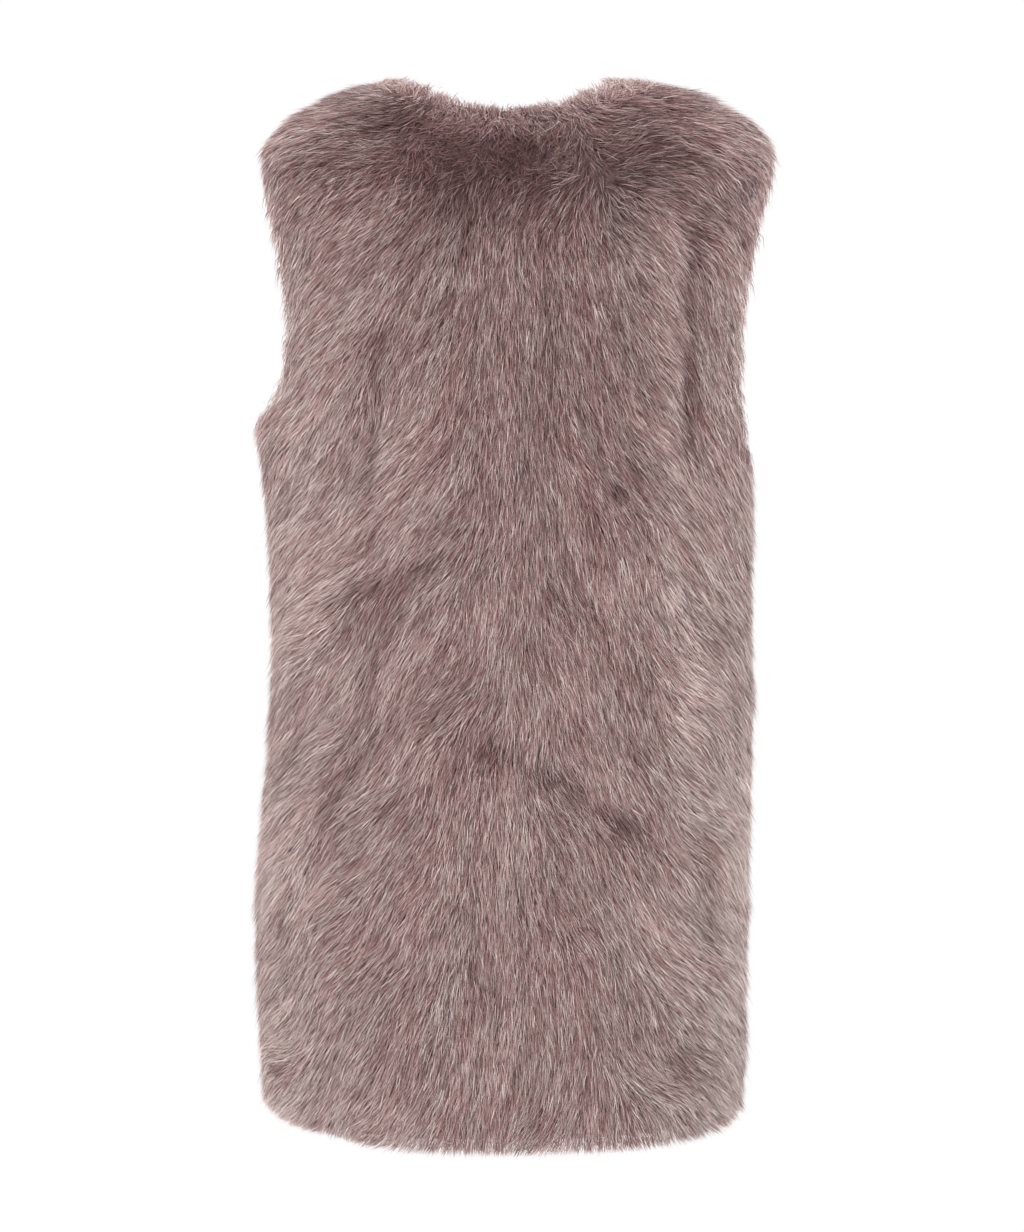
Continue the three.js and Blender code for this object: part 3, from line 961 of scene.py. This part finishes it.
def fur_material():
    """Hairs that are dark at the root and pale at the tip, between a mauve and a greyer beige."""
    material, nodes, links, shader = new_material("fur_pile")
    shade = nodes.new("ShaderNodeAttribute")
    shade.attribute_name = "shade"
    hue = nodes.new("ShaderNodeAttribute")
    hue.attribute_name = "hue"
    mauve = ramp(nodes, MAUVE)
    beige = ramp(nodes, BEIGE)
    mix = nodes.new("ShaderNodeMix")
    mix.data_type = "RGBA"
    links.new(shade.outputs["Fac"], mauve.inputs["Fac"])
    links.new(shade.outputs["Fac"], beige.inputs["Fac"])
    links.new(hue.outputs["Fac"], mix.inputs["Factor"])
    links.new(mauve.outputs["Color"], mix.inputs["A"])
    links.new(beige.outputs["Color"], mix.inputs["B"])
    links.new(mix.outputs["Result"], shader.inputs["Base Color"])
    shader.inputs["Roughness"].default_value = 0.5
    shader.inputs["Specular IOR Level"].default_value = 0.4
    return material


def underfur_material():
    """The short dark wool between the hairs, streaked along the pile."""
    material, nodes, links, shader = new_material("underfur")
    place = nodes.new("ShaderNodeTexCoord")
    stretch = nodes.new("ShaderNodeMapping")
    stretch.inputs["Scale"].default_value = (1, 1, 0.25)
    streaks = nodes.new("ShaderNodeTexNoise")
    streaks.inputs["Scale"].default_value = 420
    streaks.inputs["Detail"].default_value = 3
    colours = ramp(nodes, UNDERFUR_COLOURS)
    bump = nodes.new("ShaderNodeBump")
    bump.inputs["Strength"].default_value = 0.8
    bump.inputs["Distance"].default_value = 0.002
    links.new(place.outputs["Object"], stretch.inputs["Vector"])
    links.new(stretch.outputs["Vector"], streaks.inputs["Vector"])
    links.new(streaks.outputs["Fac"], colours.inputs["Fac"])
    links.new(colours.outputs["Color"], shader.inputs["Base Color"])
    links.new(streaks.outputs["Fac"], bump.inputs["Height"])
    links.new(bump.outputs["Normal"], shader.inputs["Normal"])
    shader.inputs["Roughness"].default_value = 0.9
    return material


def backing_material():
    """The plain knitted ground on the inside, in fine ribs of stitches."""
    material, nodes, links, shader = new_material("knit_backing")
    place = nodes.new("ShaderNodeTexCoord")
    waves = nodes.new("ShaderNodeTexWave")
    waves.wave_type = "BANDS"
    waves.bands_direction = "Z"
    waves.inputs["Scale"].default_value = 240
    waves.inputs["Distortion"].default_value = 3
    waves.inputs["Detail"].default_value = 2
    colours = ramp(nodes, BACKING_COLOURS)
    bump = nodes.new("ShaderNodeBump")
    bump.inputs["Strength"].default_value = 0.25
    bump.inputs["Distance"].default_value = 0.0006
    links.new(place.outputs["Object"], waves.inputs["Vector"])
    links.new(waves.outputs["Fac"], colours.inputs["Fac"])
    links.new(colours.outputs["Color"], shader.inputs["Base Color"])
    links.new(waves.outputs["Fac"], bump.inputs["Height"])
    links.new(bump.outputs["Normal"], shader.inputs["Normal"])
    shader.inputs["Roughness"].default_value = 0.85
    return material


def build_vest():
    pile = fur_material()
    shell_materials = [underfur_material(), backing_material()]
    share = 1
    for number, (panel, facts) in enumerate(PANELS.items()):
        shell = cloth(panel, shell_materials)
        count = int(facts["hairs"] * share)
        hairs = fur(panel, facts["pieces"], count, pile, SEED + 20 * number)
        for piece in [shell, *hairs]:
            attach(piece, "root")
        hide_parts(panel)
        area = flat_area(panel)


def build_camera():
    data = bpy.data.cameras.new("camera")
    data.sensor_fit = "VERTICAL"
    data.sensor_height = SENSOR_HEIGHT
    data.lens = SENSOR_HEIGHT * -CAMERA_PLACE[1] / FRAME_HEIGHT
    camera = bpy.data.objects.new("camera", data)
    camera.location = CAMERA_PLACE
    camera.rotation_euler = (math.pi / 2, 0, 0)
    bpy.context.collection.objects.link(camera)
    bpy.context.scene.camera = camera


def soft_light(name, place, size, power):
    """A square area light that faces the vest's middle."""
    data = bpy.data.lights.new(name, "AREA")
    data.shape = "SQUARE"
    data.size = size
    data.energy = power
    light = bpy.data.objects.new(name, data)
    light.location = place
    middle = np.array([0, 0, -HOLD_HEIGHT / 2000])
    x, y, z = middle - np.array(place)
    light.rotation_euler = (math.atan2(math.hypot(x, y), -z), 0, math.atan2(y, x) - math.pi / 2)
    bpy.context.collection.objects.link(light)


def build_studio():
    world = bpy.data.worlds.new("studio")
    world.use_nodes = True
    world.node_tree.nodes["Background"].inputs["Color"].default_value = (1, 1, 1, 1)
    world.node_tree.nodes["Background"].inputs["Strength"].default_value = 1.0
    bpy.context.scene.world = world
    bpy.context.scene.view_settings.view_transform = "Standard"
    for name, place, size, power in LIGHTS:
        soft_light(name, place, size, power)
    bpy.ops.mesh.primitive_circle_add(
        vertices=96,
        radius=FLOOR_RADIUS,
        fill_type="NGON",
        location=(0, 0, FLOOR_HEIGHT),
    )
    floor = bpy.context.object
    floor.name = "floor"
    material, nodes, links, shader = new_material("floor_paint")
    shader.inputs["Base Color"].default_value = (FLOOR_GREY, FLOOR_GREY, FLOOR_GREY, 1)
    shader.inputs["Roughness"].default_value = 0.8
    floor.data.materials.append(material)


build_camera()
build_vest()
build_studio()

bpy.context.view_layer.update()
